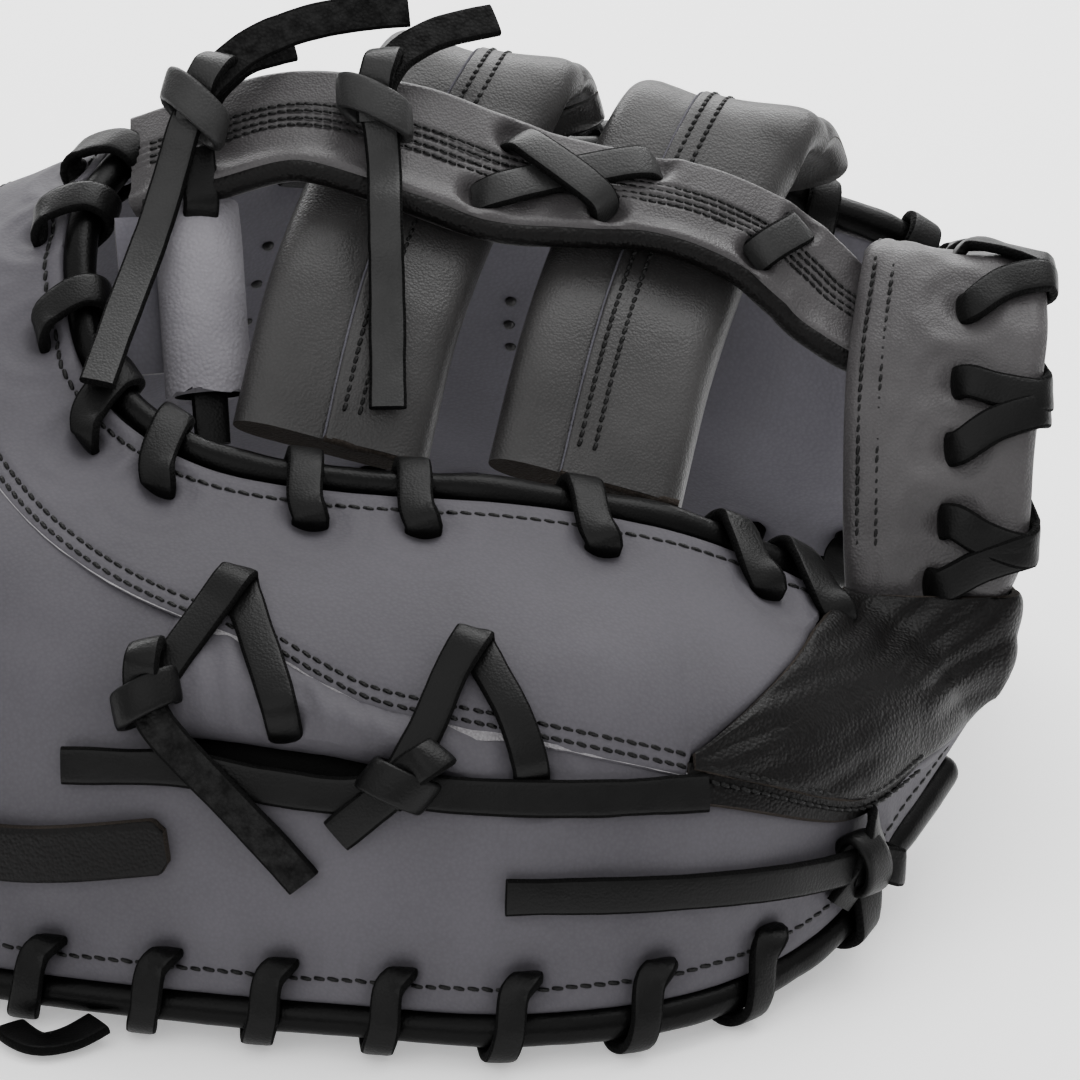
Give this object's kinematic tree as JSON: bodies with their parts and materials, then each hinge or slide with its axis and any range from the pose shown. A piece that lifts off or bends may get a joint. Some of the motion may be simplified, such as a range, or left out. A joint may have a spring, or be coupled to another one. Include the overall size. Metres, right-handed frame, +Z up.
{
  "type": "first baseman mitt",
  "caption": "Leather first base mitt resting palm down with its web up: post and bar web, laced edges, rolled welts and a wrist strap.",
  "frame": {"origin": "centre of the bounding box in plan, on the surface the mitt rests on", "axes": "+X from the heel towards the finger and thumb tips, +Y from the thumb side to the little finger side, +Z up through the web"},
  "size_m": [0.2968, 0.2444, 0.1507],
  "materials": {
    "grey_leather": "smooth full-grain, satin",
    "black_leather": "fine grained, satin",
    "bar_leather": "fine grained, satin",
    "welt_leather": "smooth, satin",
    "lace_leather": "rawhide lace, matt"
  },
  "bodies": {
    "root": {"back_upper": "grey_leather", "binding_back": "welt_leather", "binding_palm": "welt_leather", "finger_back": "grey_leather", "finger_tip_patch": "black_leather", "hand_back": "grey_leather", "lace_finger_edge": "lace_leather", "lace_post_cross_over": "lace_leather", "lace_post_cross_under": "lace_leather", "lace_post_loop": "lace_leather", "lace_rim": "lace_leather", "lace_thumb_edge": "lace_leather", "lace_web_crotch": "lace_leather", "lace_web_finger": "lace_leather", "lace_web_thumb": "lace_leather", "palm_shell": "grey_leather", "tail_heel": "lace_leather", "thumb_back_lower": "grey_leather", "thumb_tip_patch": "black_leather", "tie_crotch": "lace_leather", "tie_edge": "lace_leather", "tie_post": "lace_leather", "tie_thumb_heel": "lace_leather", "tie_thumb_tip": "lace_leather", "web_bar_lower": "bar_leather", "web_bar_upper": "bar_leather", "web_flap": "grey_leather", "web_post": "black_leather", "web_rim": "black_leather", "web_roll": "grey_leather", "welt_finger_edge": "welt_leather", "welt_thumb_edge": "welt_leather", "welt_web": "welt_leather", "wrist_strap": "black_leather"}
  },
  "joints": []
}
